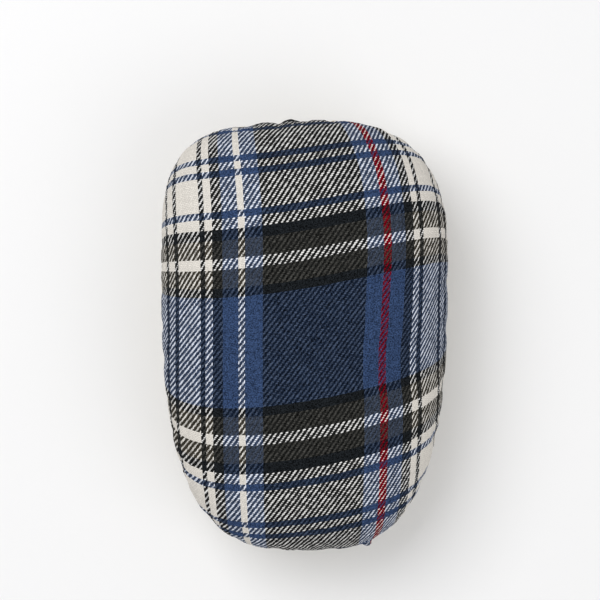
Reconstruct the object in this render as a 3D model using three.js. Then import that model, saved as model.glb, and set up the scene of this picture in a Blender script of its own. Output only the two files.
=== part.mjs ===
// Tailor's ham: a hard-stuffed pressing cushion, plaid wool on one side and plain cotton on the other.
// Millimetres. +Z is up, out of the plaid side. +Y points to the blunt end, and +X lies across the ham.
// The origin is on the surface that the ham rests on, under the middle of its outline.

import * as THREE from "three";

// The stuffed form
const LENGTH = 197; // blunt end to narrow end
const WIDTH = 131; // across the widest part
const CROWN_HEIGHT = 50; // seam plane to the top of the plaid side
const SEAM_HEIGHT = 42; // resting surface to the seam plane
const REST_PRESS = 2; // how far the resting surface presses the cotton side flat
const WIDEST_TO_BLUNT = 64; // from the widest part to the blunt end
const CROWN_TO_BLUNT = 84; // from the crown to the blunt end
const BLUNT_FULLNESS = 3; // superellipse exponent of the outline towards the blunt end
const NARROW_FULLNESS = 3; // and towards the narrow end
const CROWN_FULLNESS = 2; // and of the level lines near the crown
const SECTION_FULLNESS = 2.2; // and of the section from the widest line to the crown

// The layers of cloth
const WOOL_THICKNESS = 1.4;
const COTTON_THICKNESS = 0.9;
const LINING_THICKNESS = 0.5;
const LAYER_GAP = 0.3; // clearance between neighbouring pieces
const SEAM_ALLOWANCE = 10; // cloth turned in at the seam
const SEAM_DRAW = 2.5; // how far the stitching draws the edges in
const SEAM_ROLL = 6; // from the seam up or down to the widest line, where the edge has rolled out again

// The sewing
const MACHINE_THREAD = 0.5; // diameter of the needle and bobbin threads
const STITCH_LENGTH = 4; // machine stitch
const HAND_THREAD = 0.8; // diameter of the doubled thread that closes the opening
const LADDER_STEP = 5; // hand stitch along each folded edge
const KNOT_DIAMETER = 1.3; // knots at both ends of the hand thread
const OPENING_LENGTH = 70; // part of the seam that is left open for stuffing
const OPENING_ANGLE = 104; // degrees from +X to the middle of that opening
const THREAD_END_GAP = 1.5; // between the machine stitching and the hand stitching

// How finely the surfaces are divided
const AROUND = 52; // points round every level line
const ROLL_STEPS = 2; // level lines from the seam to the widest line
const DOME_STEPS = 8; // and from there to the crown
const COVER_SKIP = 1; // a cover takes every level line
const INNER_SKIP = 2; // a lining and the filling take every second one
const OUTLINE_SAMPLES = 720;
const MACHINE_SIDES = 4;
const MACHINE_STEPS_PER_TWIST = 5;
const HAND_SIDES = 6;
const HAND_STEPS_PER_LADDER = 6;

const HALF_GAP = LAYER_GAP / 2;
const WIDEST_PLAN = new THREE.Vector2(0, LENGTH / 2 - WIDEST_TO_BLUNT);
const CROWN_PLAN = new THREE.Vector2(0, LENGTH / 2 - CROWN_TO_BLUNT);

// How far the outline reaches from the widest part, towards the end that the sign of along names.
function endReach(along) {
  return along > 0 ? WIDEST_TO_BLUNT : LENGTH - WIDEST_TO_BLUNT;
}

// A point of a level line in plan, at an angle about the middle of the widest part. Two half
// superellipses meet there, a short one towards the blunt end and a long one towards the narrow end,
// which gives the egg outline. Where relax is 0, as at the seam, each has its own exponent. Where
// relax is 1, as at the crown, both have the crown's.
function outlinePoint(angle, relax = 0) {
  const across = Math.cos(angle);
  const along = Math.sin(angle);
  const edgeFullness = along > 0 ? BLUNT_FULLNESS : NARROW_FULLNESS;
  const fullness = THREE.MathUtils.lerp(edgeFullness, CROWN_FULLNESS, relax);
  const sum =
    Math.abs((2 * across) / WIDTH) ** fullness + Math.abs(along / endReach(along)) ** fullness;
  const radius = sum ** (-1 / fullness);
  return new THREE.Vector2(across, along).multiplyScalar(radius).add(WIDEST_PLAN);
}

// The level line's outward normal in plan, from its slope.
function outlineNormal(angle, relax = 0) {
  const step = Math.PI / OUTLINE_SAMPLES;
  const chord = outlinePoint(angle + step, relax).sub(outlinePoint(angle - step, relax));
  return new THREE.Vector2(chord.y, -chord.x).normalize();
}

// A ring of points on a level line, scaled by across about the crown and then moved in by inset.
// The points are spaced as on two half ellipses, so that four of them lie on the axes.
function ring(z, inset, across = 1, relax = 0) {
  return Array.from({ length: AROUND }, (_, i) => {
    const turn = (2 * Math.PI * i) / AROUND;
    const along = endReach(Math.sin(turn)) * Math.sin(turn);
    const angle = Math.atan2(along, (WIDTH / 2) * Math.cos(turn));
    const plan = outlinePoint(angle, relax).lerp(CROWN_PLAN, 1 - across);
    plan.addScaledVector(outlineNormal(angle, relax), -inset);
    return new THREE.Vector3(plan.x, plan.y, z);
  });
}

// The surface that lies depth below one side's outer face, as rings from the seam to the crown.
// The edge rolls out from the seam to the widest line on a quarter ellipse, and from there the side
// rises on a superellipse, which the resting surface cuts flat on the lower side.
// side is 1 above the seam plane and -1 below it.
function dome(side, skip, depth) {
  const foot = HALF_GAP + depth;
  const widest = HALF_GAP + SEAM_ROLL;
  const press = side > 0 ? 0 : REST_PRESS;
  const top = side > 0 ? CROWN_HEIGHT : SEAM_HEIGHT;
  const flatRise = (top - widest) / (top + press - widest);
  const flatTurn = Math.asin(flatRise ** (SECTION_FULLNESS / 2));
  const level = (up) => SEAM_HEIGHT + side * up;
  const rings = [];
  for (let j = 0; j < ROLL_STEPS; j += skip) {
    const turn = (Math.PI / 2) * (j / ROLL_STEPS);
    const lift = 1 - Math.cos(turn);
    const inset = depth + SEAM_DRAW * (1 - Math.sin(turn));
    rings.push(ring(level(THREE.MathUtils.lerp(foot, widest, lift)), inset));
  }
  const crown = widest + (top + press - widest - depth) * flatRise;
  for (let j = 0; j < DOME_STEPS + (press > 0 ? 1 : 0); j += skip) {
    const turn = flatTurn * (j / DOME_STEPS);
    const across = Math.cos(turn) ** (2 / SECTION_FULLNESS);
    const rise = Math.sin(turn) ** (2 / SECTION_FULLNESS);
    const up = widest + (top + press - widest - depth) * rise;
    rings.push(ring(level(up), depth * across, across, rise ** 2));
  }
  const pole = new THREE.Vector3(CROWN_PLAN.x, CROWN_PLAN.y, level(crown));
  return { rings, pole, foot: level(foot) };
}

// A closed body lofted through rings of equal count, with a pole at each end.
function loft(rings, firstPole, lastPole) {
  const count = rings[0].length;
  const points = [firstPole, ...rings.flat(), lastPole];
  const last = points.length - 1;
  const at = (k, i) => 1 + k * count + (i % count);
  const faces = [];
  for (let i = 0; i < count; i++) {
    faces.push(0, at(0, i), at(0, i + 1));
    for (let k = 0; k + 1 < rings.length; k++) {
      faces.push(at(k, i), at(k + 1, i), at(k + 1, i + 1));
      faces.push(at(k, i), at(k + 1, i + 1), at(k, i + 1));
    }
    faces.push(at(rings.length - 1, i), last, at(rings.length - 1, i + 1));
  }
  const geometry = new THREE.BufferGeometry().setFromPoints(points);
  geometry.setIndex(faces);
  geometry.computeVertexNormals();
  return geometry;
}

// One panel of cloth: a dome whose edge turns in at the seam and lies flat as the seam allowance.
// depth is how far the panel's outer face lies below the ham's surface.
function panel(side, skip, depth, thickness) {
  const outer = dome(side, skip, depth);
  const inner = dome(side, skip, depth + thickness);
  const edge = SEAM_DRAW + SEAM_ALLOWANCE;
  const allowance = [ring(outer.foot, edge), ring(inner.foot, edge)];
  const rings = [...outer.rings.reverse(), ...allowance, ...inner.rings];
  if (side > 0) return loft(rings, outer.pole, inner.pole);
  return loft(rings.reverse(), inner.pole, outer.pole);
}

// The packed filling, with a slot round its middle that takes the seam allowances of all the layers.
function filling(upperDepth, lowerDepth) {
  const upper = dome(1, INNER_SKIP, upperDepth);
  const lower = dome(-1, INNER_SKIP, lowerDepth);
  const slot = SEAM_DRAW + SEAM_ALLOWANCE + LAYER_GAP;
  const slotRings = [ring(upper.foot, slot), ring(lower.foot, slot)];
  return loft([...upper.rings.reverse(), ...slotRings, ...lower.rings], upper.pole, lower.pole);
}

// The outline measured by length, so that stitches can be spaced evenly along the seam.
const outlineLengths = [0];
for (let i = 1; i <= OUTLINE_SAMPLES; i++) {
  const step = (2 * Math.PI) / OUTLINE_SAMPLES;
  const chord = outlinePoint(i * step).distanceTo(outlinePoint((i - 1) * step));
  outlineLengths.push(outlineLengths[i - 1] + chord);
}
const SEAM_LENGTH = outlineLengths[OUTLINE_SAMPLES];

function angleToLength(angle) {
  return outlineLengths[Math.round((angle / (2 * Math.PI)) * OUTLINE_SAMPLES)];
}

function lengthToAngle(length) {
  const wrapped = THREE.MathUtils.euclideanModulo(length, SEAM_LENGTH);
  const next = Math.max(1, outlineLengths.findIndex((l) => l >= wrapped));
  const share =
    (wrapped - outlineLengths[next - 1]) / (outlineLengths[next] - outlineLengths[next - 1]);
  return ((next - 1 + share) * 2 * Math.PI) / OUTLINE_SAMPLES;
}

// How far in from the outline a thread of that radius lies, with clearance to both folded edges,
// when it runs as far as rise above and below the middle of the groove.
function grooveInset(radius, rise) {
  const turn = Math.PI / 2 / ROLL_STEPS;
  const lip = new THREE.Vector2(SEAM_DRAW * Math.sin(turn), SEAM_ROLL * (1 - Math.cos(turn)));
  lip.normalize();
  return SEAM_DRAW - (radius + LAYER_GAP + (rise - HALF_GAP) * lip.x) / lip.y;
}

// A point in the seam groove, length along the seam, moved out and up from the middle of the groove.
function groovePoint(length, inset, out, up) {
  const angle = lengthToAngle(length);
  const plan = outlinePoint(angle).addScaledVector(outlineNormal(angle), out - inset);
  return new THREE.Vector3(plan.x, plan.y, SEAM_HEIGHT + up);
}

// A thread along a list of points, as a tube whose radius may change along it.
function thread(points, sides, radiusAt) {
  const up = new THREE.Vector3(0, 0, 1);
  const rings = points.map((point, i) => {
    const before = points[Math.max(0, i - 1)];
    const after = points[Math.min(points.length - 1, i + 1)];
    const along = after.clone().sub(before).normalize();
    const first = new THREE.Vector3().crossVectors(up, along).normalize();
    const second = new THREE.Vector3().crossVectors(first, along);
    return Array.from({ length: sides }, (_, k) => {
      const turn = (2 * Math.PI * k) / sides;
      const radius = radiusAt(i);
      return point
        .clone()
        .addScaledVector(first, radius * Math.cos(turn))
        .addScaledVector(second, radius * Math.sin(turn));
    });
  });
  return loft(rings, points[0], points[points.length - 1]);
}

// The opening's two ends, measured along the seam.
const openingMiddle = angleToLength(THREE.MathUtils.degToRad(OPENING_ANGLE));
const openingStart = openingMiddle - OPENING_LENGTH / 2;
const openingEnd = openingMiddle + OPENING_LENGTH / 2;

// The needle and bobbin threads cross at every stitch, so they wind about each other with
// two stitches to a turn. turned is the thread's own place in that twist.
const TWIST_RADIUS = (MACHINE_THREAD + LAYER_GAP) / 2;
function machineThread(turned) {
  const start = openingEnd + THREAD_END_GAP;
  const length = SEAM_LENGTH - OPENING_LENGTH - 2 * THREAD_END_GAP;
  const twists = Math.round(length / (2 * STITCH_LENGTH));
  const steps = twists * MACHINE_STEPS_PER_TWIST;
  const inset = grooveInset(TWIST_RADIUS + MACHINE_THREAD / 2, 0);
  const points = Array.from({ length: steps + 1 }, (_, i) => {
    const turn = turned + (2 * Math.PI * i) / MACHINE_STEPS_PER_TWIST;
    const out = TWIST_RADIUS * Math.cos(turn);
    const up = TWIST_RADIUS * Math.sin(turn);
    return groovePoint(start + (length * i) / steps, inset, out, up);
  });
  return thread(points, MACHINE_SIDES, () => MACHINE_THREAD / 2);
}

// The hand thread that closes the opening: a ladder stitch that runs along one folded edge,
// crosses to the other and back, with a knot at each end.
const LADDER_RISE = 0.55; // half the width of the ladder
const LADDER_SQUARENESS = 3; // how sharply it turns to cross
function handThread() {
  const ladders = Math.round(OPENING_LENGTH / LADDER_STEP);
  const steps = ladders * HAND_STEPS_PER_LADDER;
  const inset = grooveInset(HAND_THREAD / 2, LADDER_RISE);
  const points = Array.from({ length: steps + 1 }, (_, i) => {
    const wave = Math.sin((Math.PI * i) / HAND_STEPS_PER_LADDER);
    const up = (LADDER_RISE * Math.tanh(LADDER_SQUARENESS * wave)) / Math.tanh(LADDER_SQUARENESS);
    return groovePoint(openingStart + (OPENING_LENGTH * i) / steps, inset, 0, up);
  });
  const isKnot = (i) => i < 2 || i > steps - 2;
  return thread(points, HAND_SIDES, (i) => (isKnot(i) ? KNOT_DIAMETER : HAND_THREAD) / 2);
}

// Finishes: woven cloth, packed sawdust and spun thread
const finishes = {
  plaid: new THREE.MeshStandardMaterial({ color: 0x4a566b, roughness: 0.95, metalness: 0 }),
  cotton: new THREE.MeshStandardMaterial({ color: 0xe6e0d2, roughness: 0.9, metalness: 0 }),
  lining: new THREE.MeshStandardMaterial({ color: 0xcfc4ac, roughness: 0.95, metalness: 0 }),
  sawdust: new THREE.MeshStandardMaterial({ color: 0xb98f5e, roughness: 1, metalness: 0 }),
  darkThread: new THREE.MeshStandardMaterial({ color: 0x23262e, roughness: 0.7, metalness: 0 }),
  paleThread: new THREE.MeshStandardMaterial({ color: 0xd9d2c0, roughness: 0.7, metalness: 0 }),
};

const woolLiningDepth = WOOL_THICKNESS + LAYER_GAP;
const cottonLiningDepth = COTTON_THICKNESS + LAYER_GAP;
const woolFillingDepth = woolLiningDepth + LINING_THICKNESS + LAYER_GAP;
const cottonFillingDepth = cottonLiningDepth + LINING_THICKNESS + LAYER_GAP;

const ham = new THREE.Group();
ham.name = "tailors_ham";

function add(name, geometry, material) {
  const mesh = new THREE.Mesh(geometry, material);
  mesh.name = name;
  ham.add(mesh);
}

add("plaid_cover", panel(1, COVER_SKIP, 0, WOOL_THICKNESS), finishes.plaid);
add("cotton_cover", panel(-1, COVER_SKIP, 0, COTTON_THICKNESS), finishes.cotton);
add("plaid_side_lining", panel(1, INNER_SKIP, woolLiningDepth, LINING_THICKNESS), finishes.lining);
add("cotton_side_lining", panel(-1, INNER_SKIP, cottonLiningDepth, LINING_THICKNESS), finishes.lining);
add("sawdust_filling", filling(woolFillingDepth, cottonFillingDepth), finishes.sawdust);
add("needle_thread", machineThread(0), finishes.darkThread);
add("bobbin_thread", machineThread(Math.PI), finishes.paleThread);
add("closing_thread", handThread(), finishes.darkThread);

export default ham;
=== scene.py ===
import math

import bpy
import numpy as np
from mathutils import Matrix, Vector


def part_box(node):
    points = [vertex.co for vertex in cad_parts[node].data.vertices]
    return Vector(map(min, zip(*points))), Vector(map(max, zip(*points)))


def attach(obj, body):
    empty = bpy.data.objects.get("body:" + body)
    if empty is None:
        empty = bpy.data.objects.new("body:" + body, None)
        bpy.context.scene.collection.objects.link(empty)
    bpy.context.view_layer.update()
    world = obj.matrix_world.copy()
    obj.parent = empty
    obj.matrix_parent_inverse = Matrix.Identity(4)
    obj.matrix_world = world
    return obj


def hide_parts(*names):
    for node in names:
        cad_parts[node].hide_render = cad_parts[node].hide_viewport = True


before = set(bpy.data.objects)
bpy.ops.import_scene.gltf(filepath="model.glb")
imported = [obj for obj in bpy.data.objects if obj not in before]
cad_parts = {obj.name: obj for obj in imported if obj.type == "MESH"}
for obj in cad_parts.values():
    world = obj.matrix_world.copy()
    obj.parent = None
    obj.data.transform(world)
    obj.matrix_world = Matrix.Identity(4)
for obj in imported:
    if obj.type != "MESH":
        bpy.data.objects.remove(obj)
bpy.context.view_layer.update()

print("frame loaded with", len(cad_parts), "nodes")

mm = 0.001
plaidLow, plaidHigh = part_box("plaid_cover")
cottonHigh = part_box("cotton_cover")[1]
seamPlane = (plaidLow.z + cottonHigh.z) / 2

# The stuffed form. Each fullness is a superellipse exponent.
ham = {
    "length": plaidHigh.y - plaidLow.y,
    "width": plaidHigh.x - plaidLow.x,
    "seamPlane": seamPlane,
    "plaidTop": plaidHigh.z - seamPlane,  # seam plane to the crown
    "halfGap": (plaidLow.z - cottonHigh.z) / 2,  # half the gap between the two folded edges
    "press": 2 * mm,  # how far the cotton side is pressed flat where it rests
    "widestToBlunt": 64 * mm,
    "crownToBlunt": 84 * mm,
    "leftFullness": 3.35,  # outline towards the blunt end, left and right
    "rightFullness": 2.75,
    "narrowFullness": 3.0,  # outline towards the narrow end
    "dent": 1.6 * mm,  # how far the outline falls in beside the closed opening
    "dentAngle": math.radians(112),
    "dentSpread": math.radians(14.5),
    "crownFullness": 2.0,  # level lines near the crown
    "sectionFullness": 2.2,  # section from the widest line to the crown
    "draw": 2.5 * mm,  # how far the stitching draws the edges in
    "roll": 6 * mm,  # seam to widest line
    "allowance": 10 * mm,  # cloth turned in at the seam
    "layerGap": 0.3 * mm,
    "wool": 1.4 * mm,  # thickness of each cloth
    "cotton": 0.9 * mm,
    "lining": 0.5 * mm,
    "ringCrowding": 1.5,  # exponent that draws the rings to the widest line
    "outlineSteps": 7200,
    "seamSteps": 4000,
}
widestY = plaidHigh.y - ham["widestToBlunt"]
crownY = plaidHigh.y - ham["crownToBlunt"]


# From 0 to 1 with a level start and end: three times the square less twice the cube
def eased(share):
    return share * share * (3 - 2 * share)


# A level line in plan, at an angle about the middle of the widest part: a short half superellipse
# towards the blunt end and a long one towards the narrow end, less a bell-shaped dent beside the closed
# opening. relax takes both exponents to the crown's and takes the dent out.
def outline(angle, relax):
    across = np.cos(angle)
    along = np.sin(angle)
    share = eased((1 + across) / 2)
    blunt = ham["leftFullness"] + (ham["rightFullness"] - ham["leftFullness"]) * share
    edge = np.where(along > 0, blunt, ham["narrowFullness"])
    power = edge + (ham["crownFullness"] - edge) * relax
    reach = np.where(along > 0, ham["widestToBlunt"], ham["length"] - ham["widestToBlunt"])
    total = np.abs(2 * across / ham["width"]) ** power + np.abs(along / reach) ** power
    dent = ham["dent"] * np.exp(-(((angle - ham["dentAngle"]) / ham["dentSpread"]) ** 2))
    radius = total ** (-1 / power) - dent * (1 - relax)
    return radius * across, widestY + radius * along


# The outline measured by length, anticlockwise from the right
tableAngle = np.linspace(0, 2 * np.pi, ham["outlineSteps"] + 1)
tableX, tableY = outline(tableAngle, 0)
tableLength = np.concatenate([[0], np.hypot(np.diff(tableX), np.diff(tableY)).cumsum()])
seamLength = tableLength[-1]


# Angle at a length along the seam
def angleAt(length):
    return np.interp(length % seamLength, tableLength, tableAngle)


# Length along the seam at which the outline passes x, at the blunt or the narrow end
def lengthAt(x, blunt):
    half = len(tableX) // 2
    if blunt:
        return np.interp(-x, -tableX[:half], tableLength[:half])
    return np.interp(x, tableX[half:], tableLength[half:])


# Lengths along the seam, closer together near each place in the list
def seamColumns(count, places, closeness, spread):
    fine = np.linspace(0, seamLength, ham["seamSteps"] + 1)
    density = 1 + sum(closeness * np.exp(-(((fine - place) / spread) ** 2)) for place in places)
    total = np.concatenate([[0], ((density[1:] + density[:-1]) / 2).cumsum()])
    return np.interp(np.arange(count) / count * total[-1], total, fine)


# One side of the form, depth below its outer face, as a function of level and angle. Level runs from
# 0 at the seam over 1 at the widest line to 2 at the crown: first a quarter ellipse that rolls out,
# then a superellipse that rises.
def sideSurface(side, levels, angles, depth=0.0):
    top = ham["plaidTop"] if side > 0 else ham["seamPlane"]
    press = 0 if side > 0 else ham["press"]
    foot = ham["halfGap"] + depth
    widest = ham["halfGap"] + ham["roll"]
    flatRise = (top - widest) / (top + press - widest)
    rollTurn = np.pi / 2 * np.clip(levels, 0, 1)
    domeTurn = np.pi / 2 * np.clip(levels - 1, 0, 1)
    across = np.cos(domeTurn) ** (2 / ham["sectionFullness"])
    rise = np.minimum(np.sin(domeTurn) ** (2 / ham["sectionFullness"]), flatRise)
    height = foot + (widest - foot) * (1 - np.cos(rollTurn)) + (top + press - widest - depth) * rise
    inset = depth * across + ham["draw"] * (1 - np.sin(rollTurn))
    z = ham["seamPlane"] + side * height
    return levelLines(angles, z, inset, across, rise**2)


# Level lines at heights z: the outline, shrunk towards the crown by across and moved in by inset along
# its normal, which is square to the chord between two points a step to either side
def levelLines(angles, z, inset, across, relax):
    relax = relax[:, None]
    x, y = outline(angles, relax)
    step = 0.002
    aheadX, aheadY = outline(angles + step, relax)
    behindX, behindY = outline(angles - step, relax)
    size = np.hypot(aheadX - behindX, aheadY - behindY)
    x = across[:, None] * x - (aheadY - behindY) / size * inset[:, None]
    y = crownY + across[:, None] * (y - crownY) + (aheadX - behindX) / size * inset[:, None]
    return np.stack([x, y, np.broadcast_to(z[:, None], x.shape)], -1)


# Levels of a side from the crown down to the seam, closest together at the widest line
def fallingLevels(domeCount, rollCount):
    share = (np.arange(domeCount, 0, -1) - 0.5) / domeCount
    return np.concatenate([1 + share ** ham["ringCrowding"], np.linspace(1, 0, rollCount)])


# The point of a side at the crown, depth below its outer face
def crownPoint(side, depth):
    return sideSurface(side, np.full(1, 2.0), np.zeros(1), depth)[0, 0] * [0, 0, 1] + [0, crownY, 0]


# The four corners of each face between closed rings of points, as rows and as columns
def faceCorners(rows, count):
    row, here = np.meshgrid(np.arange(rows - 1), np.arange(count), indexing="ij")
    cornerRow = np.stack([row, row + 1, row + 1, row], -1).reshape(-1, 4)
    cornerColumn = np.stack([here, here, here + 1, here + 1], -1).reshape(-1, 4)
    return cornerRow, cornerColumn


# A closed mesh through rings of points, with a fan to a pole at each end. uv has one column more
# than the rings, so that a pattern can run on over the join.
def ringMesh(name, rings, poles, uv, poleUv, layerName, flip=False):
    rows, count = rings.shape[:2]
    cornerRow, cornerColumn = faceCorners(rows, count)
    quads = cornerRow * count + cornerColumn % count
    here = np.arange(count)
    after = (here + 1) % count
    last = (rows - 1) * count
    firstFan = np.stack([np.full(count, rows * count), here, after], -1)
    lastFan = np.stack([last + here, np.full(count, rows * count + 1), last + after], -1)
    fans = np.concatenate([firstFan, lastFan])
    first, second = np.broadcast_to(poleUv[:, None], (2, count, 2))
    firstUv = np.stack([first, uv[0, :-1], uv[0, 1:]], 1)
    lastUv = np.stack([uv[-1, :-1], second, uv[-1, 1:]], 1)
    fanUv = np.concatenate([firstUv, lastUv])
    quadUv = uv[cornerRow, cornerColumn]
    if flip:
        quads, fans, quadUv, fanUv = quads[:, ::-1], fans[:, ::-1], quadUv[:, ::-1], fanUv[:, ::-1]
    points = np.concatenate([rings.reshape(-1, 3), poles])
    mesh = bpy.data.meshes.new(name)
    mesh.from_pydata(points.tolist(), [], quads.tolist() + fans.tolist())
    mesh.polygons.foreach_set("use_smooth", np.ones(len(mesh.polygons), bool))
    corners = np.concatenate([quadUv.reshape(-1, 2), fanUv.reshape(-1, 2)])
    mesh.uv_layers.new(name=layerName).data.foreach_set("uv", corners.astype(np.float32).ravel())
    mesh.update()
    piece = bpy.data.objects.new(name, mesh)
    bpy.context.scene.collection.objects.link(piece)
    return piece


# A finished piece: its material, its body and the solid it stands for
def dress(piece, material, node):
    piece.data.materials.append(material)
    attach(piece, "root")
    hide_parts(node)
    print(piece.name, "made with", len(piece.data.polygons), "faces")


# One layer of cloth as rings: outer face from crown to seam, the seam allowance turned in, and the
# inner face back to the crown, with their flat coordinates
def clothRings(side, depth, thickness, angles, levels, innerLevels):
    outer = sideSurface(side, levels, angles, depth)
    inner = sideSurface(side, innerLevels, angles, depth + thickness)
    edgeInset = np.full(1, ham["draw"] + ham["allowance"])
    one, zero = np.ones(1), np.zeros(1)
    outerEdge = levelLines(angles, outer[-1, :1, 2], edgeInset, one, zero)
    innerEdge = levelLines(angles, inner[-1, :1, 2], edgeInset, one, zero)
    poles = np.stack([crownPoint(side, depth), crownPoint(side, depth + thickness)])
    outerFlat = flatPlaces(np.concatenate([outer, outerEdge]), poles[0])
    innerFlat = flatPlaces(np.concatenate([inner, innerEdge]), poles[1])
    rest = [outerEdge, innerEdge, inner[::-1]]
    return outer, rest, poles, np.concatenate([outerFlat, innerFlat[::-1]])


# Flat coordinates of a cloth: the length from the crown along each column, laid out in the direction
# of the point from the crown
def flatPlaces(rings, pole):
    steps = np.linalg.norm(np.diff(rings, axis=0), axis=2)
    reach = np.concatenate([np.linalg.norm(rings[:1] - pole, axis=2), steps]).cumsum(0)
    direction = np.arctan2(rings[..., 1] - crownY, rings[..., 0])
    return np.stack([reach * np.cos(direction), reach * np.sin(direction)], -1)


# The first column once more after the last, for the join
def closedColumns(uv):
    return np.concatenate([uv, uv[:, :1]], 1)


class Socket:
    # A node's output. An operator on it adds a Math node.
    def __init__(self, tree, socket):
        self.tree = tree
        self.socket = socket

    def math(self, operation, first, second=None):
        node = self.tree.nodes.new("ShaderNodeMath")
        node.operation = operation
        for slot, value in zip(node.inputs, (first, second)):
            if isinstance(value, Socket):
                self.tree.links.new(value.socket, slot)
            elif value is not None:
                slot.default_value = value
        return Socket(self.tree, node.outputs[0])

    def __add__(self, other):
        return self.math("ADD", self, other)

    __radd__ = __add__

    def __sub__(self, other):
        return self.math("SUBTRACT", self, other)

    def __rsub__(self, other):
        return self.math("SUBTRACT", other, self)

    def __mul__(self, other):
        return self.math("MULTIPLY", self, other)

    __rmul__ = __mul__

    def __truediv__(self, other):
        return self.math("DIVIDE", self, other)

    def __mod__(self, other):
        return self.math("FLOORED_MODULO", self, other)

    def __lt__(self, other):
        return self.math("LESS_THAN", self, other)

    def __gt__(self, other):
        return self.math("GREATER_THAN", self, other)

    def __abs__(self):
        return self.math("ABSOLUTE", self)

    def __floor__(self):
        return self.math("FLOOR", self)

    def sine(self):
        return self.math("SINE", self)


# How everything here takes light
surface = {
    "bump": 0.8,
    "gloss": 0.02,
    "sheenSpread": 0.45,
}


class Finish:
    # A material being made
    def __init__(self, name):
        self.material = bpy.data.materials.new(name)
        self.material.use_nodes = True
        self.tree = self.material.node_tree
        self.tree.nodes.clear()

    # Adds any node, sets its settings, then its sockets. A key such as _6 names a socket by its place.
    def node(self, kind, settings=None, output=0, **sockets):
        node = self.tree.nodes.new("ShaderNode" + kind)
        for key, value in (settings or {}).items():
            if key == "stops":
                self.setStops(node.color_ramp, value)
            else:
                setattr(node, key, value)
        for key, value in sockets.items():
            slot = node.inputs[int(key[1:])] if key[0] == "_" else node.inputs[key.replace("_", " ")]
            if isinstance(value, Socket):
                self.tree.links.new(value.socket, slot)
            else:
                slot.default_value = value
        return Socket(self.tree, node.outputs[output]) if node.outputs else node

    # Another output of the same node
    def beside(self, value, output):
        return Socket(self.tree, value.socket.node.outputs[output])

    def setStops(self, ramp, stops):
        ramp.interpolation = "CONSTANT"
        while len(ramp.elements) < len(stops):
            ramp.elements.new(0.5)
        for element, (position, colour) in zip(ramp.elements, stops):
            element.position = position
            element.color = colour

    # Blend of two colours by a factor
    def mix(self, factor, first, second, blend="MIX"):
        settings = {"data_type": "RGBA", "blend_type": blend}
        return self.node("Mix", settings, 2, _0=factor, _6=first, _7=second)

    # Product of two colours
    def times(self, first, second):
        return self.mix(1.0, first, second, "MULTIPLY")

    def grey(self, value):
        return self.node("CombineColor", {}, 0, Red=value, Green=value, Blue=value)

    # A colour made darker or lighter by a value
    def shaded(self, colour, value):
        return self.times(colour, self.grey(value))

    def brightness(self, colour):
        return self.node("RGBToBW", {}, 0, Color=colour)

    def noise(self, place, scale, detail=2.0):
        return self.node("TexNoise", {}, 0, Vector=place, Scale=scale, Detail=detail)

    def cells(self, place, scale):
        return self.node("TexVoronoi", {"feature": "F1"}, 0, Vector=place, Scale=scale)

    # A random value for each whole number
    def chance(self, number):
        return self.node("TexWhiteNoise", {"noise_dimensions": "1D"}, 0, W=number)

    def smooth(self, value, low, high):
        settings = {"interpolation_type": "SMOOTHSTEP"}
        return self.node("MapRange", settings, 0, Value=value, From_Min=low, From_Max=high)

    def uvParts(self, layerName):
        flat = self.node("UVMap", {"uv_map": layerName})
        first = self.node("SeparateXYZ", {}, 0, Vector=flat)
        return first, self.beside(first, 1)

    def place(self):
        return self.node("TexCoord", {}, 3)  # object coordinates

    # The shader: roughness varies with the fibre or chip, and relief is the depth of the bump
    def finish(self, values, colour, fibre, height):
        roughness = values["roughness"] + values["fibreRoughness"] * fibre
        bump, relief = surface["bump"], values["relief"]
        normal = self.node("Bump", {}, 0, Strength=bump, Distance=relief, Height=height)
        shader = self.node(
            "BsdfPrincipled", {}, 0, Base_Color=colour, Roughness=roughness, Normal=normal,
            Sheen_Weight=values["sheen"], Sheen_Roughness=surface["sheenSpread"],
            Specular_IOR_Level=surface["gloss"],
        )
        self.node("OutputMaterial", {}, 0, Surface=shader)
        return self.material


# A colour given as screen values from 0 to 255, in linear light
def screen(red, green, blue):
    value = np.array([red, green, blue]) / 255
    light = np.where(value <= 0.04045, value / 12.92, ((value + 0.055) / 1.055) ** 2.4)
    return (*light.tolist(), 1.0)


# What all the weaves share
weaving = {
    "floatEnd": 0.45,  # height of a float's ends, where its middle is 1
    "waverScale": 160.0,
    "weftApart": 4000,  # added to a weft thread's number, to tell it from a warp thread's
    "rowApart": 613,  # the same from one row of floats to the next
}


# Threads of a weave. warp and weft count threads, and a warp thread is on top where its number less
# the weft's, modulo the repeat, is under the float. Each float is round across and arched along.
def weave(warp, weft, cloth):
    repeat, over = cloth["repeat"], cloth["over"]
    warpNumber = math.floor(warp)
    weftNumber = math.floor(weft)
    acrossWarp = warp - warpNumber
    acrossWeft = weft - weftNumber
    place = (warpNumber - weftNumber) % repeat
    warpTop = place < over - 0.5
    warpAlong = (over - 1 - place + acrossWeft) / over
    weftAlong = (place - over + acrossWarp) / (repeat - over)
    warpRound = (acrossWarp * math.pi).sine() * arch(warpAlong)
    weftRound = (acrossWeft * math.pi).sine() * arch(weftAlong)
    height = warpTop * warpRound + (1 - warpTop) * weftRound
    return warpNumber, weftNumber, warpTop, height


# Height along a float: half a sine wave on top of the height of its ends
def arch(along):
    end = weaving["floatEnd"]
    return end + (1 - end) * (along * math.pi).sine()


# Number of the thread on top
def topThread(warpNumber, weftNumber, warpTop):
    return warpTop * warpNumber + (1 - warpTop) * (weftNumber + weaving["weftApart"])


# Thread counts at a point of a cloth, with a slight waver of the threads
def threadCounts(make, cloth):
    right, up = make.uvParts("cloth")
    wave = (make.noise(make.place(), weaving["waverScale"]) - 0.5) * cloth["waver"]
    return right / cloth["warpPitch"] + wave, up / cloth["weftPitch"] + wave


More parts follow.
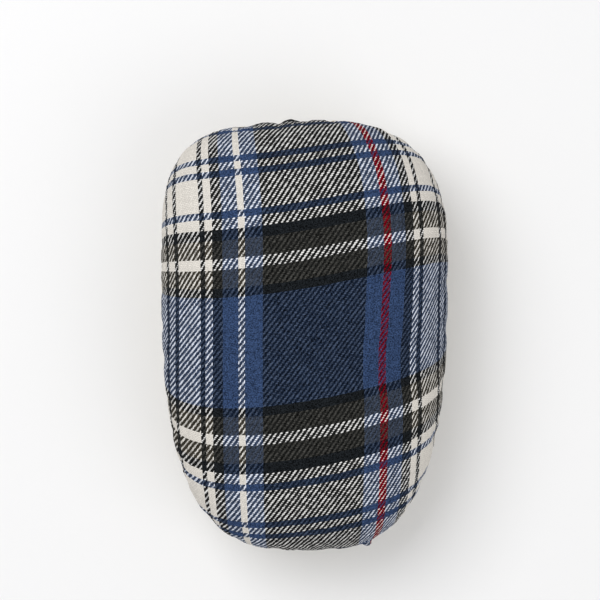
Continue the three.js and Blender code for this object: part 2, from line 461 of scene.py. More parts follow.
# The sawdust filling: both sides of the form, one layer in, and the slot that takes the seam allowances
filling = {
    "around": 240,
    "domeRings": 46,
    "rollRings": 6,
    "grain": 0.9 * mm,
    "light": screen(214, 178, 128),
    "dark": screen(138, 96, 54),
    "bark": screen(84, 54, 32),
    "cloudScale": 60.0,
    "cloudPart": 0.35,  # of the tone, and the rest is each chip's own
    "barkFrom": 0.94,  # chips past this are bark
    "barkPart": 0.7,
    "chipLight": 1.05,  # in the middle of a chip, and how much darker its edge is
    "chipShade": 0.45,
    "roughness": 0.88,
    "fibreRoughness": 0.1,
    "relief": 0.5 * mm,
    "sheen": 0.05,
}


def packedSawdust():
    make = Finish("packedSawdust")
    place = make.place()
    grain = make.cells(place, 1 / filling["grain"])
    chip = make.node("SeparateColor", {}, 0, Color=make.beside(grain, 1))
    cloud = make.noise(place, filling["cloudScale"], 3.0)
    tone = (1 - filling["cloudPart"]) * chip + filling["cloudPart"] * cloud
    colour = make.mix(tone, filling["dark"], filling["light"])
    colour = make.mix((chip > filling["barkFrom"]) * filling["barkPart"], colour, filling["bark"])
    colour = make.shaded(colour, filling["chipLight"] - filling["chipShade"] * grain)
    return make.finish(filling, colour, chip, 1 - grain)


def makeFilling():
    angles = angleAt(np.arange(filling["around"]) / filling["around"] * seamLength)
    levels = fallingLevels(filling["domeRings"], filling["rollRings"])
    plaidDepth = ham["wool"] + ham["lining"] + 2 * ham["layerGap"]
    cottonDepth = ham["cotton"] + ham["lining"] + 2 * ham["layerGap"]
    upper = sideSurface(1, levels, angles, plaidDepth)
    lower = sideSurface(-1, levels, angles, cottonDepth)
    slot = np.full(2, ham["draw"] + ham["allowance"] + ham["layerGap"])
    slotHeights = np.array([upper[-1, 0, 2], lower[-1, 0, 2]])
    slotLines = levelLines(angles, slotHeights, slot, np.ones(2), np.zeros(2))
    rings = np.concatenate([upper, slotLines, lower[::-1]])
    poles = np.stack([crownPoint(1, plaidDepth), crownPoint(-1, cottonDepth)])
    piece = ringMesh("sawdustFilling", rings, poles, closedColumns(rings[..., :2]), poles[:, :2], "plan")
    dress(piece, packedSawdust(), "sawdust_filling")


makeFilling()

# The two calico linings, stretched over the filling
linings = {
    "around": 240,
    "domeRings": 46,
    "rollRings": 8,
    "stretch": 1.03,  # how much the packing has stretched the cut cloth
    "repeat": 2,
    "over": 1,
    "warpPitch": 0.45 * mm,
    "weftPitch": 0.45 * mm,
    "waver": 0.3,  # of the threads, in threads
    "light": screen(226, 215, 190),
    "dark": screen(190, 174, 140),
    "threadPart": 0.5,  # of the tone, and the rest is fibre
    "fibreScale": 2400.0,
    "gapShade": 0.75,  # painted shade: brightness between the threads, and the painted light that rises to their crests
    "rise": 0.3,
    "fibreHeight": 0.3,
    "roughness": 0.85,
    "fibreRoughness": 0.1,
    "relief": 0.12 * mm,
    "sheen": 0.08,
}


def liningCalico():
    make = Finish("liningCalico")
    warp, weft = threadCounts(make, linings)
    warpNumber, weftNumber, warpTop, height = weave(warp, weft, linings)
    thread = make.chance(topThread(warpNumber, weftNumber, warpTop))
    fibre = make.noise(make.place(), linings["fibreScale"])
    tone = linings["threadPart"] * thread + (1 - linings["threadPart"]) * fibre
    colour = make.mix(tone, linings["dark"], linings["light"])
    # painted shade between the threads and painted light on their crests, from the weave's height
    colour = make.shaded(colour, linings["gapShade"] + linings["rise"] * height)
    return make.finish(linings, colour, fibre, height + linings["fibreHeight"] * fibre)


def makeLining(name, node, side, depth, finish):
    angles = angleAt(np.arange(linings["around"]) / linings["around"] * seamLength)
    levels = fallingLevels(linings["domeRings"], linings["rollRings"])
    outer, rest, poles, flat = clothRings(side, depth, ham["lining"], angles, levels, levels)
    rings = np.concatenate([outer, *rest])
    piece = ringMesh(name, rings, poles, closedColumns(flat), np.zeros((2, 2)), "cloth", flip=side < 0)
    dress(piece, finish, node)
    size = (flat.max((0, 1)) - flat.min((0, 1))) / linings["stretch"]
    area = sum(face.area for face in piece.data.polygons) / 2 / linings["stretch"] ** 2
    area = min(area, size[0] * size[1])
    print("  cut", np.round(size / mm).tolist(), "mm, area", round(area * 1e4), "cm2")


calico = liningCalico()
makeLining("plaidSideLining", "plaid_side_lining", 1, ham["wool"] + ham["layerGap"], calico)
makeLining("cottonSideLining", "cotton_side_lining", -1, ham["cotton"] + ham["layerGap"], calico)

# Gathers: the cloth near the seam has more length than the seam, so it puckers. Cloth is simulated on
# a band from the seam to a little above the widest line, held at both edges.
gathers = {
    "columns": 300,
    "rows": 22,
    "topLevel": 1.3,
    "levelSteps": 400,
    "ease": 0.08,  # extra length at the seam
    "easePower": 1.5,  # how quickly the ease runs out up the band
    "pressure": 20.0,
    "frames": 20,
    "quality": 6,
    "mass": 0.002,
    "bending": 0.05,
    "woolSwell": 0.35 * mm,  # most that a gather may stand out, less in the wool, which shrinks in
    "cottonSwell": 1.0 * mm,
    "sink": 0.25 * mm,
    "unevenness": 0.06 * mm,  # of the cloth before it puckers
    "seed": 11,
    "longest": 32 * mm,  # swells longer than this along the seam are taken out
}


# Weights that carry values at whole numbers to positions between them, on a cubic through four of them
def cubicWeights(position, count, wrap):
    low = np.floor(position).astype(int)
    part = position - low
    taps = np.stack([
        -(part**3) + 2 * part**2 - part,
        3 * part**3 - 5 * part**2 + 2,
        -3 * part**3 + 4 * part**2 + part,
        part**3 - part**2,
    ]) / 2
    index = low + np.arange(-1, 3)[:, None]
    index = index % count if wrap else np.clip(index, 0, count - 1)
    weights = np.zeros((len(position), count))
    np.add.at(weights, (np.broadcast_to(np.arange(len(position)), index.shape), index), taps)
    return weights


# Levels from the seam up, at equal lengths along a column
def evenLevels(side, topLevel, count):
    fine = np.linspace(0, topLevel, gathers["levelSteps"])
    line = sideSurface(side, fine, np.zeros(1))[:, 0]
    length = np.concatenate([[0], np.linalg.norm(np.diff(line, axis=0), axis=1).cumsum()])
    return np.interp(np.linspace(0, length[-1], count), length, fine)


# Normals of a side's rings: the direction down a column crossed with the direction round the ring
def outwardNormals(rings, side):
    ahead = np.roll(rings, -1, 1) - np.roll(rings, 1, 1)
    normal = side * np.cross(np.gradient(rings, axis=0), ahead)
    return normal / np.linalg.norm(normal, axis=2, keepdims=True)


# The band to be simulated: the side's own surface, made a little uneven along its normals. Its two edge
# rings are pinned, and snug falls from 1 at the top to 0 at the seam, where all the ease is.
def puckerBand(side, levels):
    rows, columns = gathers["rows"], gathers["columns"]
    angles = angleAt(np.arange(columns) / columns * seamLength)
    band = sideSurface(side, levels[::-1], angles)
    normal = outwardNormals(band, side)
    draw = np.random.default_rng(gathers["seed"] + side).normal(size=(rows, columns))
    draw[[0, -1]] = 0
    start = band + normal * draw[..., None] * gathers["unevenness"]
    cornerRow, cornerColumn = faceCorners(rows, columns)
    faces = (cornerRow * columns + cornerColumn % columns)[:, ::side]
    mesh = bpy.data.meshes.new("puckerBand")
    mesh.from_pydata(start.reshape(-1, 3).tolist(), [], faces.tolist())
    piece = bpy.data.objects.new("puckerBand", mesh)
    bpy.context.scene.collection.objects.link(piece)
    edges = piece.vertex_groups.new(name="edges")
    edges.add([*range(columns), *range((rows - 1) * columns, rows * columns)], 1.0, "REPLACE")
    snug = piece.vertex_groups.new(name="snug")
    for ring in range(rows):
        first = ring * columns
        weight = 1 - (ring / (rows - 1)) ** gathers["easePower"]
        snug.add(list(range(first, first + columns)), weight, "REPLACE")
    return piece, band, normal


# How far a side's gathers stand out, from the seam up: the simulated moves along the normals, without
# their long waves and capped
def simulateGathers(side):
    rows, columns = gathers["rows"], gathers["columns"]
    levels = evenLevels(side, gathers["topLevel"], rows)
    piece, band, normal = puckerBand(side, levels)
    cloth = piece.modifiers.new("cloth", "CLOTH").settings
    cloth.quality = gathers["quality"]
    cloth.mass = gathers["mass"]
    cloth.bending_stiffness = gathers["bending"]
    cloth.vertex_group_mass = "edges"
    cloth.vertex_group_shrink = "snug"
    cloth.shrink_min = -gathers["ease"]  # where the cloth is not snug
    cloth.shrink_max = 0
    cloth.use_pressure = True
    cloth.uniform_pressure_force = gathers["pressure"]
    cloth.effector_weights.gravity = 0
    scene = bpy.context.scene
    for number in range(1, gathers["frames"] + 1):
        scene.frame_set(number)
    shaped = piece.evaluated_get(bpy.context.evaluated_depsgraph_get()).data
    places = np.zeros(rows * columns * 3, np.float32)
    shaped.vertices.foreach_get("co", places)
    moved = ((places.reshape(band.shape) - band) * normal).sum(2)
    scene.frame_set(1)
    bpy.data.objects.remove(piece)
    spread = np.percentile(moved, [0, 10, 50, 90, 100]) / mm
    print("gathers simulated, side", side, "moved", np.round(spread, 2))
    waves = np.fft.rfft(moved, axis=1)
    waves[:, : round(seamLength / gathers["longest"])] = 0
    swell = gathers["woolSwell" if side > 0 else "cottonSwell"]
    moved = np.clip(np.fft.irfft(waves, columns, axis=1), -gathers["sink"], swell)
    return levels, moved[::-1]


# The pleats that show: two lumps with a crease between them at the closed opening, and a tuck at the
# narrow end. Each is a swell along the seam: its place across the ham, how far it stands out, its half
# width, how square it is, and the levels at which it starts, is full and has run out.
pleats = {
    "blunt": (
        (-18.0 * mm, 0.7 * mm, 4.4 * mm, 2, 0.2, 0.9, 1.25),
        (-11.9 * mm, -1.2 * mm, 1.8 * mm, 2, 0.3, 1.0, 1.3),
        (-6.4 * mm, 0.9 * mm, 3.2 * mm, 2, 0.2, 0.9, 1.25),
    ),
    "narrow": ((28.4 * mm, 2.9 * mm, 2.3 * mm, 4, 0.1, 0.6, 1.12),),
}


# How far the pleats stand out: a bell along the seam, of the given squareness, times an eased rise and
# fall over the levels
def pleatMoves(levels, lengths):
    moves = np.zeros((len(levels), len(lengths)))
    for blunt in (True, False):
        for x, height, half, square, start, full, end in pleats["blunt" if blunt else "narrow"]:
            share = np.minimum((levels - start) / (full - start), (end - levels) / (end - full))
            rise = eased(np.clip(share, 0, 1))
            away = (lengths - lengthAt(x, blunt)) / half
            moves += rise[:, None] * height * np.exp(-(away**square))[None]
    return moves


# The two covers: fine outer face with gathers, seam allowance turned in, and a plainer inner face
cover = {
    "around": 520,
    "closeness": 1.4,  # extra columns at the pleats
    "spread": 30 * mm,
    "bluntPlace": -11 * mm,  # the middle of the pleats at each end, across the ham
    "narrowPlace": 28 * mm,
    "domeRings": 84,
    "rollRings": 14,
    "innerDome": 22,
    "innerRoll": 5,
    "fill": 0.95,
}


# A cover's rings: the plain cloth with its outer face moved along the normals by gathers and pleats
def coverRings(side, thickness, withPleats):
    places = (lengthAt(cover["bluntPlace"], True), lengthAt(cover["narrowPlace"], False))
    lengths = seamColumns(cover["around"], places, cover["closeness"], cover["spread"])
    levels = fallingLevels(cover["domeRings"], cover["rollRings"])
    innerLevels = fallingLevels(cover["innerDome"], cover["innerRoll"])
    outer, rest, poles, flat = clothRings(side, 0.0, thickness, angleAt(lengths), levels, innerLevels)
    bandLevels, moved = simulateGathers(side)
    rowPlace = np.interp(levels, bandLevels, np.arange(len(bandLevels)))
    rowWeights = cubicWeights(rowPlace, len(bandLevels), False) * (levels < gathers["topLevel"])[:, None]
    columnWeights = cubicWeights(lengths / seamLength * gathers["columns"], gathers["columns"], True)
    moves = rowWeights @ moved @ columnWeights.T
    if withPleats:
        moves += pleatMoves(levels, lengths)
    outer = outer + outwardNormals(outer, side) * moves[..., None]
    return np.concatenate([outer, *rest]), poles, flat


# The plaid wool: a 2/2 twill. Both setts are given as thread counts outwards from a pivot, about which
# they are mirrored, but for the stripe that is white on the left and red on the right. A float that is
# paler than the thread under it, or red, stands out as a bead. A pair of values is a plain float's and a
# bead's, and a range is where something starts and where it is full.
plaid = {
    "repeat": 4,
    "over": 2,
    "warpPitch": 0.62 * mm,
    "weftPitch": 0.84 * mm,
    "waver": 0.9,
    "leftSett": "black 36 blue 13 white 5 ",
    "rightSett": "black 36 blue 12 red 6 ",
    "outerSett": (
        "blue 12 black 8 white 6 black 4 white 20 black 4 white 8 "
        "black 4 white 20 black 4 white 6 black 8 blue 12"
    ),
    "weftSett": (
        "blue 34 black 5 olive 10 white 6 olive 10 black 6 white 6 blue 4 white 20 blue 4 white 5 "
        "blue 4 white 20 blue 4 white 6 black 6 olive 10"
    ),
    "settReach": 255,  # threads that a ramp covers, one for each step of its table
    "warpShift": 4.2 * mm,  # the warp's pivot, to the right of the crown
    "warpLean": 11 * mm,  # how far the warp leans, leanReach past leanStart towards the blunt end
    "leanStart": 22.5 * mm,
    "leanReach": 80 * mm,
    "sways": (  # how far the warp is pulled right, the place right and up, and the width and length
        (1.6 * mm, 37 * mm, 40 * mm, 20 * mm, 38 * mm),
        (-1.4 * mm, 45 * mm, -28 * mm, 25 * mm, 14 * mm),
    ),
    "edgePull": 1.5 * mm,  # and left, towards the sides
    "edgeStart": 45 * mm,
    "edgeEnd": 75 * mm,
    "weftShift": 18.5 * mm,  # the weft's pivot, below the crown
    "weftTilt": 0.1658,  # slope of the weft at the crown, and how it changes to the right
    "weftCurl": 1.194,
    "weftSway": -8.47,
    "warpMiddle": 22.94 * mm,  # half width of the black middle, where the warp lies looser
    "warpEase": 0.62 * mm,
    "weftMiddle": 25.2 * mm,  # half height of the blue middle, where the weft lies closer
    "weftCrowd": 3.36 * mm,
    "white": screen(222, 217, 209),
    "blue": screen(50, 68, 101),
    "black": screen(25, 28, 31),
    "olive": screen(60, 57, 50),
    "red": screen(112, 1, 18),
    "lint": screen(150, 152, 156),
    "redRange": (0.1, 0.25),  # how far red is over green in a red thread
    "beadRange": (-0.1, 0.2),  # how much paler a bead is
    "redBead": 0.35,  # what a red float adds on that range
    "rowHold": (0.35, 0.6),  # how far the slanting row of floats shapes a float
    "ownShape": (0.35, 1.1),  # how far its own round form does, about the height crest
    "crest": 0.55,
    "looseness": (0.15, 0.75),  # how far floats differ
    "fuzzCover": 0.6,  # how far the fuzz blurs the edge between two threads
    "coverEdge": 0.22,
    "darkOverPale": 0.29,  # how far dark fibres spread over a paler thread
    "weftCover": 0.03,  # how far the weft spreads over the warp
    "redCover": 0.024,  # how far the thicker red yarn spreads, and more over a pale thread
    "redOverPale": 0.24,
    "strays": 0.8,  # how far stray fibres carry a thread's hue to the other
    "redKeeps": 0.85,  # share of its hue that the red yarn keeps
    "strayDark": 0.3,  # how much more the darker thread strays
    "gain": 0.35,  # painted light and shade: how far the paler thread is made lighter and the darker one darker, less at a strong contrast
    "gainLoss": 0.4,
    "fuzzScale": 2600.0,
    "tuftScale": 1600.0,
    "tuftRange": (0.28, 0.72),
    "paleTuft": 0.05,  # tone of the tufts on white, and what black adds
    "darkTuft": 2.0,
    "fibreSlant": 0.5,
    "fibreLength": 2.5,
    "fibreScale": 4.0,
    "fibreApart": 40,  # between the fibres of the warp and those of the weft
    "fibreTone": 0.3,
    "yarnTone": 0.12,  # how far whole threads differ
    "beadTone": 0.15,  # how far beads differ, and how much they are darkened
    "beadShade": 0.1,
    # painted shade between the threads, and the painted light that rises to the float crests
    "gapShade": 0.8,
    "rise": 0.32,
    "lintRange": (0.66, 0.8),  # the fuzz that is lint
    "lintPart": 0.32,
    "fibreHeight": 0.18,
    "roughness": 0.86,
    "fibreRoughness": 0.12,
    "relief": 0.2 * mm,
    "sheen": 0.02,
}


# Place on the plaid, right and up from the two pivots, of a flat place on the cover: the warp leans and
# sways by shift, the weft follows a cubic across the ham, and both middles are drawn wider or closer
def plaidPlace(flat):
    right, up = flat[..., 0], flat[..., 1]
    lean = np.maximum(0, (up - plaid["leanStart"]) / plaid["leanReach"]) ** 2
    edge = (np.abs(right) - plaid["edgeStart"]) / (plaid["edgeEnd"] - plaid["edgeStart"])
    pulled = plaid["edgePull"] * eased(np.clip(edge, 0, 1))
    shift = plaid["warpShift"] - plaid["warpLean"] * lean - pulled
    for pull, swayRight, swayUp, width, length in plaid["sways"]:
        away = ((right - swayRight) / width) ** 2 + ((up - swayUp) / length) ** 4
        shift = shift + pull * np.exp(-away)
    bend = plaid["weftTilt"] * right + plaid["weftCurl"] * right**2 + plaid["weftSway"] * right**3
    right = right - shift
    up = up + plaid["weftShift"] - bend
    right = right - plaid["warpEase"] * np.clip(right / plaid["warpMiddle"], -1, 1)
    up = up + plaid["weftCrowd"] * np.clip(up / plaid["weftMiddle"], -1, 1)
    return np.stack([right, up], -1)


# Colour of a thread in a sett that is mirrored about its pivot: a ramp with a stop half a thread before
# the first thread of each colour. It gives square roots, on which fibres blend as the eye sees them.
def settColour(make, number, sett):
    words = sett.split()
    starts = np.cumsum([0] + [int(count) for count in words[1::2]])
    places = np.maximum(0, starts - 0.5) / plaid["settReach"]
    colours = [np.sqrt(plaid[name]).tolist() for name in words[::2]]
    part = abs(number + 0.5) / plaid["settReach"]
    return make.node("ValToRGB", {"stops": list(zip(places.tolist(), colours))}, 0, Fac=part)


# Fibres along the thread on top: noise drawn out along it, slanting across it as the twist does
def twistedFibre(make, warp, weft, warpTop):
    across = warpTop * warp + (1 - warpTop) * weft
    along = warpTop * weft + (1 - warpTop) * warp
    slanted = across + plaid["fibreSlant"] * along
    apart = plaid["fibreApart"] * warpTop
    place = make.node("CombineXYZ", {}, 0, X=slanted, Y=along / plaid["fibreLength"], Z=apart)
    return make.noise(place, plaid["fibreScale"], 3.0)


# How far inside its slanting row of floats a point lies, in threads: 1 in the middle of the row, 0 at
# its straight border and less at the float ends that stick out of it
def rowDepth(warp, weft, warpSign):
    fromWeft = abs((warp - weft - 0.5) % plaid["repeat"] - plaid["over"])
    return (fromWeft - plaid["over"] / 2 - plaid["weftCover"]) * warpSign


# A value between a plain float's and a bead's
def between(pair, bead):
    plain, full = pair
    return plain + (full - plain) * bead


def plaidWool():
    make = Finish("plaidWool")
    place = make.place()
    warp, weft = threadCounts(make, plaid)
    warpNumber, weftNumber, warpTop, height = weave(warp, weft, plaid)
    warpSign = 2 * warpTop - 1
    row = math.floor((warpNumber - weftNumber) / plaid["repeat"])
    thread = topThread(warpNumber, weftNumber, warpTop)
    yarn = make.chance(thread)
    loose = make.chance(thread + weaving["rowApart"] * row)
    fuzz = make.noise(place, plaid["fuzzScale"], 3.0)
    tuft = make.smooth(make.noise(place, plaid["tuftScale"]), *plaid["tuftRange"])
    fibre = twistedFibre(make, warp, weft, warpTop)

    leftWarp = settColour(make, warpNumber, plaid["leftSett"] + plaid["outerSett"])
    rightWarp = settColour(make, warpNumber, plaid["rightSett"] + plaid["outerSett"])
    warpColour = make.mix(warpNumber > -0.5, leftWarp, rightWarp)
    weftColour = settColour(make, weftNumber, plaid["weftSett"])
    top = make.mix(warpTop, weftColour, warpColour)
    under = make.mix(warpTop, warpColour, weftColour)
    topBright = make.brightness(top)
    underBright = make.brightness(under)
    paler = topBright - underBright
    contrast = abs(paler)
    redPart = make.node("SeparateColor", {}, 0, Color=warpColour)
    redness = make.smooth(redPart - make.beside(redPart, 1), *plaid["redRange"])
    bead = make.smooth(paler + plaid["redBead"] * redness * warpSign, *plaid["beadRange"])

    # how far the thread on top covers the other
    depth = redness * warpSign * (plaid["redCover"] + plaid["redOverPale"] * contrast)
    depth = depth + between(plaid["rowHold"], bead) * rowDepth(warp, weft, warpSign)
    depth = depth + between(plaid["ownShape"], bead) * (height - plaid["crest"])
    depth = depth + between(plaid["looseness"], bead) * (loose - 0.5)
    depth = depth + plaid["fuzzCover"] * (fuzz - 0.5) - plaid["darkOverPale"] * paler
    seen = make.smooth(depth, -plaid["coverEdge"], plaid["coverEdge"])
    colour = make.mix(seen, under, top)

    # the hue of both threads, at the brightness of the one that is seen, with painted light on the paler
    # thread that stands proud and painted shade on the darker one between
    both = make.mix(0.5 - plaid["strayDark"] * paler, under, top)
    bright = make.brightness(colour)
    gain = plaid["gain"] - plaid["gainLoss"] * contrast
    lift = bright - make.brightness(both) + (bright - 0.5 * (topBright + underBright)) * gain
    strayed = make.mix(1.0, both, make.grey(lift), "ADD")
    colour = make.mix(plaid["strays"] * (1 - plaid["redKeeps"] * redness), colour, strayed)

    dark = 1 - make.brightness(colour)
    tone = (tuft - 0.5) * (plaid["paleTuft"] + plaid["darkTuft"] * dark * dark)
    tone = tone + (fibre - 0.5) * plaid["fibreTone"] + (yarn - 0.5) * plaid["yarnTone"]
    tone = tone + (plaid["beadTone"] * loose - plaid["beadShade"]) * bead
    # painted shade between the threads and painted light on the float crests, from the weave's height,
    # on top of the yarn's own random tone
    light = plaid["gapShade"] + plaid["rise"] * height + tone
    colour = make.shaded(make.times(colour, colour), light)
    fluff = make.smooth(fuzz, *plaid["lintRange"]) * dark * plaid["lintPart"]
    colour = make.mix(fluff, colour, plaid["lint"])
    return make.finish(plaid, colour, fibre, height + plaid["fibreHeight"] * fibre)


def makePlaidCover():
    rings, poles, flat = coverRings(1, ham["wool"], True)
    uv = closedColumns(plaidPlace(flat))
    piece = ringMesh("plaidCover", rings, poles, uv, plaidPlace(np.zeros((2, 2))), "cloth")
    dress(piece, plaidWool(), "plaid_cover")


makePlaidCover()

# The plain cotton: a 2/1 drill
cotton = {
    "repeat": 3,
    "over": 2,
    "warpPitch": 0.42 * mm,
    "weftPitch": 0.52 * mm,
    "waver": 0.35,
    "light": screen(232, 226, 211),
    "dark": screen(206, 196, 174),
    "seed": screen(132, 104, 70),
    "slubPart": 0.25,  # of the tone, by thread, by fibre and by place
    "fibrePart": 0.4,
    "mottlePart": 0.35,
    "fibreScale": 2400.0,
    "mottleScale": 45.0,
    "seedScale": 140.0,  # specks of seed husk
    "seedSize": 0.045,
    "seedPart": 0.55,
    # painted shade between the threads, and the painted light that rises to their crests
    "gapShade": 0.8,
    "rise": 0.22,
    "fibreHeight": 0.3,
    "roughness": 0.82,
    "fibreRoughness": 0.14,
    "relief": 0.12 * mm,
    "sheen": 0.1,
}


def naturalCotton():
    make = Finish("naturalCotton")
    warp, weft = threadCounts(make, cotton)
    warpNumber, weftNumber, warpTop, height = weave(warp, weft, cotton)
    slub = make.chance(topThread(warpNumber, weftNumber, warpTop))
    place = make.place()
    fibre = make.noise(place, cotton["fibreScale"])
    mottle = make.noise(place, cotton["mottleScale"], 3.0)
    tone = cotton["slubPart"] * slub + cotton["fibrePart"] * fibre + cotton["mottlePart"] * mottle
    colour = make.mix(tone, cotton["dark"], cotton["light"])
    speck = make.cells(place, cotton["seedScale"]) < cotton["seedSize"]
    colour = make.mix(speck * cotton["seedPart"], colour, cotton["seed"])
    # painted shade between the threads and painted light on their crests, from the weave's height
    colour = make.shaded(colour, cotton["gapShade"] + cotton["rise"] * height)
    return make.finish(cotton, colour, fibre, height + cotton["fibreHeight"] * fibre)


def makeCottonCover():
    rings, poles, flat = coverRings(-1, ham["cotton"], False)
    uv = closedColumns(flat)
    piece = ringMesh("cottonCover", rings, poles, uv, np.zeros((2, 2)), "cloth", flip=True)
    dress(piece, naturalCotton(), "cotton_cover")


makeCottonCover()

# The threads in the seam groove: two machine threads that cross at each stitch, and the hand thread that
# closes the opening with a ladder stitch, knotted at both ends
sewing = {
    "machineThread": 0.5 * mm,
    "stitch": 4 * mm,
    "machineInset": 0.95 * mm,  # from the outline in to the middle of the twist
    "stepsPerTwist": 14,
    "machineSides": 9,
    "handThread": 0.8 * mm,
    "ladderStep": 5 * mm,
    "ladderRise": 0.55 * mm,
    "ladderSquareness": 3.0,
    "handInset": 0.8 * mm,
    "stepsPerLadder": 26,
    "handSides": 14,
    "knot": 1.3 * mm,
    "knotReach": 0.9 * mm,
    "opening": 70 * mm,
    "openingAngle": math.radians(104),
    "endGap": 1.5 * mm,  # between machine stitching and hand stitching
    "plies": 3,
    "plyPitch": 2.2 * mm,
    "plyDepth": 0.14,
    "darkFibre": (screen(24, 25, 30), screen(58, 60, 68)),
    "paleFibre": (screen(186, 176, 150), screen(226, 219, 200)),
    "fibreScale": 4000.0,
    "fibrePart": 0.5,  # of the tone, by fibre, and the painted shade in the grooves between the plies
    "plyGrooveShade": 0.25,
    "roughness": 0.6,
    "fibreRoughness": 0.25,
    "relief": 0.05 * mm,
    "sheen": 0.08,
}
openingMiddle = np.interp(sewing["openingAngle"], tableAngle, tableLength)


def spunThread(name, fibreColours):
    make = Finish(name)
    along, around = make.uvParts("thread")
    lay = ((around * sewing["plies"] + along / sewing["plyPitch"]) * (2 * math.pi)).sine()
    fibre = make.noise(make.place(), sewing["fibreScale"], 3.0)
    # fibre tone plus painted shade in the grooves between the plies and painted light on their crests
    colour = make.mix(sewing["fibrePart"] * fibre + sewing["plyGrooveShade"] * (1 + lay), *fibreColours)
    return make.finish(sewing, colour, fibre, lay + fibre)


# Points in the seam groove: a length along the seam, then out from the groove's line and up
def groovePath(lengths, inset, out, up):
    heights = np.full(2, ham["seamPlane"])
    insets = np.array([inset, inset - mm])
    middle, outer = levelLines(angleAt(lengths), heights, insets, np.ones(2), np.zeros(2))
    return middle + (outer - middle) / mm * out[:, None] + np.stack([0 * up, 0 * up, up], -1)


# A thread along a path: a round section with one shallow groove for each ply, turning as it goes
def threadMesh(name, path, radius, sides):
    ahead = np.gradient(path, axis=0)
    ahead /= np.linalg.norm(ahead, axis=1, keepdims=True)
    first = np.cross([0, 0, 1], ahead)
    first /= np.linalg.norm(first, axis=1, keepdims=True)
    second = np.cross(ahead, first)
    along = np.concatenate([[0], np.linalg.norm(np.diff(path, axis=0), axis=1).cumsum()])
    around = np.arange(sides) / sides
    lay = np.pi * (sewing["plies"] * around[None] + along[:, None] / sewing["plyPitch"])
    reach = radius[:, None] * (1 - sewing["plyDepth"] * (1 - np.abs(np.sin(lay))))
    turn = 2 * np.pi * around
    rings = path[:, None] + (reach * np.cos(turn))[..., None] * first[:, None]
    rings = rings + (reach * np.sin(turn))[..., None] * second[:, None]
    grid = np.stack(np.meshgrid(along, np.arange(sides + 1) / sides, indexing="ij"), -1)
    poleUv = np.array([[0, 0.5], [along[-1], 0.5]])
    return ringMesh(name, rings, path[[0, -1]], grid, poleUv, "thread", flip=True)


# A machine thread: a helix about the groove's line, one turn to two stitches, so that the two threads
# lie half a turn apart and change places at each stitch
def makeMachineThread(name, node, finish, turned):
    start = openingMiddle + sewing["opening"] / 2 + sewing["endGap"]
    length = seamLength - sewing["opening"] - 2 * sewing["endGap"]
    twists = round(length / (2 * sewing["stitch"]))
    part = np.linspace(0, 1, twists * sewing["stepsPerTwist"] + 1)
    turn = turned + 2 * np.pi * twists * part
    swing = (sewing["machineThread"] + ham["layerGap"]) / 2
    out = swing * np.cos(turn)
    up = swing * np.sin(turn)
    path = groovePath(start + length * part, sewing["machineInset"], out, up)
    radius = np.full(len(part), sewing["machineThread"] / 2)
    dress(threadMesh(name, path, radius, sewing["machineSides"]), finish, node)


# The ladder stitch: a sine wave between the two folded edges, squared off by a hyperbolic tangent, and
# thicker at both ends, where it is knotted
def makeClosingThread(finish):
    ladders = round(sewing["opening"] / sewing["ladderStep"])
    part = np.linspace(0, 1, ladders * sewing["stepsPerLadder"] + 1)
    wave = np.sin(np.pi * ladders * part)
    square = sewing["ladderSquareness"]
    up = sewing["ladderRise"] * np.tanh(square * wave) / math.tanh(square)
    lengths = openingMiddle + sewing["opening"] * (part - 0.5)
    path = groovePath(lengths, sewing["handInset"], 0 * part, up)
    fromEnd = sewing["opening"] * np.minimum(part, 1 - part)
    knot = np.exp(-(((fromEnd - sewing["knotReach"]) / sewing["knotReach"]) ** 4))
    radius = (sewing["handThread"] + (sewing["knot"] - sewing["handThread"]) * knot) / 2
    piece = threadMesh("closingThread", path, radius, sewing["handSides"])
    dress(piece, finish, "closing_thread")


darkSpun = spunThread("darkSpun", sewing["darkFibre"])
paleSpun = spunThread("paleSpun", sewing["paleFibre"])
makeMachineThread("needleThread", "needle_thread", darkSpun, 0)
makeMachineThread("bobbinThread", "bobbin_thread", paleSpun, math.pi)
makeClosingThread(darkSpun)

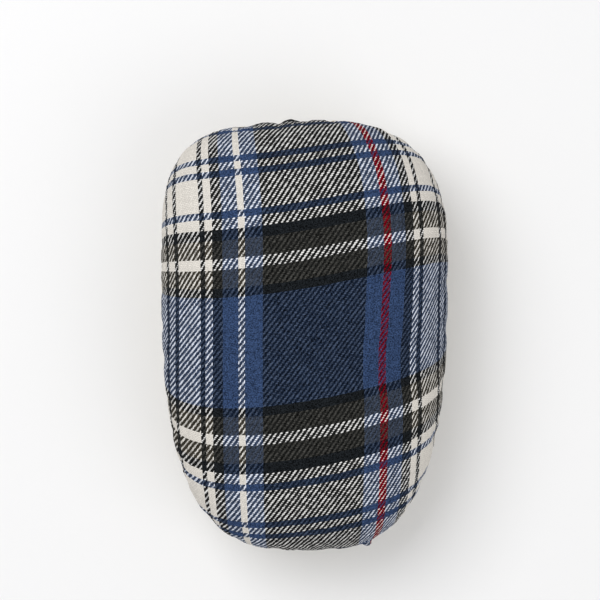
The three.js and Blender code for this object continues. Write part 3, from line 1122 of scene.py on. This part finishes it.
# Floor, lights and camera
studio = {
    "floorSize": 6.0,
    "floorColour": (0.86, 0.86, 0.865, 1),
    "floorRoughness": 0.7,
    "worldColour": (1, 1, 1, 1),
    "worldStrength": 0.55,
    "softboxes": (  # name, place, size and power
        ("keySoftbox", (-0.5, 0.45, 1.3), 0.9, 11.0),
        ("fillSoftbox", (0.7, -0.5, 1.2), 1.0, 4.5),
    ),
    "lens": 180.0,
    "sensor": 36.0,
    "clipEnd": 20,
    "frameWidth": 275.8 * mm,  # what the picture spans at the widest line
    "aim": (-2.07 * mm, 16.1 * mm),  # the ham lies right of and below the middle of the picture
}


def makeFloor(scene):
    half = studio["floorSize"] / 2
    corners = [(-half, -half, 0), (half, -half, 0), (half, half, 0), (-half, half, 0)]
    mesh = bpy.data.meshes.new("floor")
    mesh.from_pydata(corners, [], [(0, 1, 2, 3)])
    floor = bpy.data.objects.new("floor", mesh)
    scene.collection.objects.link(floor)
    make = Finish("paleFloor")
    colour, roughness = studio["floorColour"], studio["floorRoughness"]
    shader = make.node("BsdfPrincipled", {}, 0, Base_Color=colour, Roughness=roughness)
    make.node("OutputMaterial", {}, 0, Surface=shader)
    mesh.materials.append(make.material)


def makeLights(scene):
    world = bpy.data.worlds.new("studio")
    world.use_nodes = True
    background = world.node_tree.nodes["Background"]
    background.inputs["Color"].default_value = studio["worldColour"]
    background.inputs["Strength"].default_value = studio["worldStrength"]
    scene.world = world
    for name, place, size, power in studio["softboxes"]:
        lamp = bpy.data.lights.new(name, "AREA")
        lamp.shape = "SQUARE"
        lamp.size = size
        lamp.energy = power
        light = bpy.data.objects.new(name, lamp)
        light.location = place
        light.rotation_euler = (-light.location).to_track_quat("-Z", "Y").to_euler()
        scene.collection.objects.link(light)


def makeCamera(scene):
    camera = bpy.data.cameras.new("camera")
    camera.lens = studio["lens"]
    camera.sensor_width = studio["sensor"]
    camera.clip_end = studio["clipEnd"]
    view = bpy.data.objects.new("camera", camera)
    distance = studio["lens"] / studio["sensor"] * studio["frameWidth"]
    view.location = (*studio["aim"], ham["seamPlane"] + ham["roll"] + distance)
    scene.collection.objects.link(view)
    scene.camera = view
    print("studio made, camera", round(distance, 3), "m above the widest line")


makeFloor(bpy.context.scene)
makeLights(bpy.context.scene)
makeCamera(bpy.context.scene)
bpy.context.scene.view_settings.view_transform = "Standard"
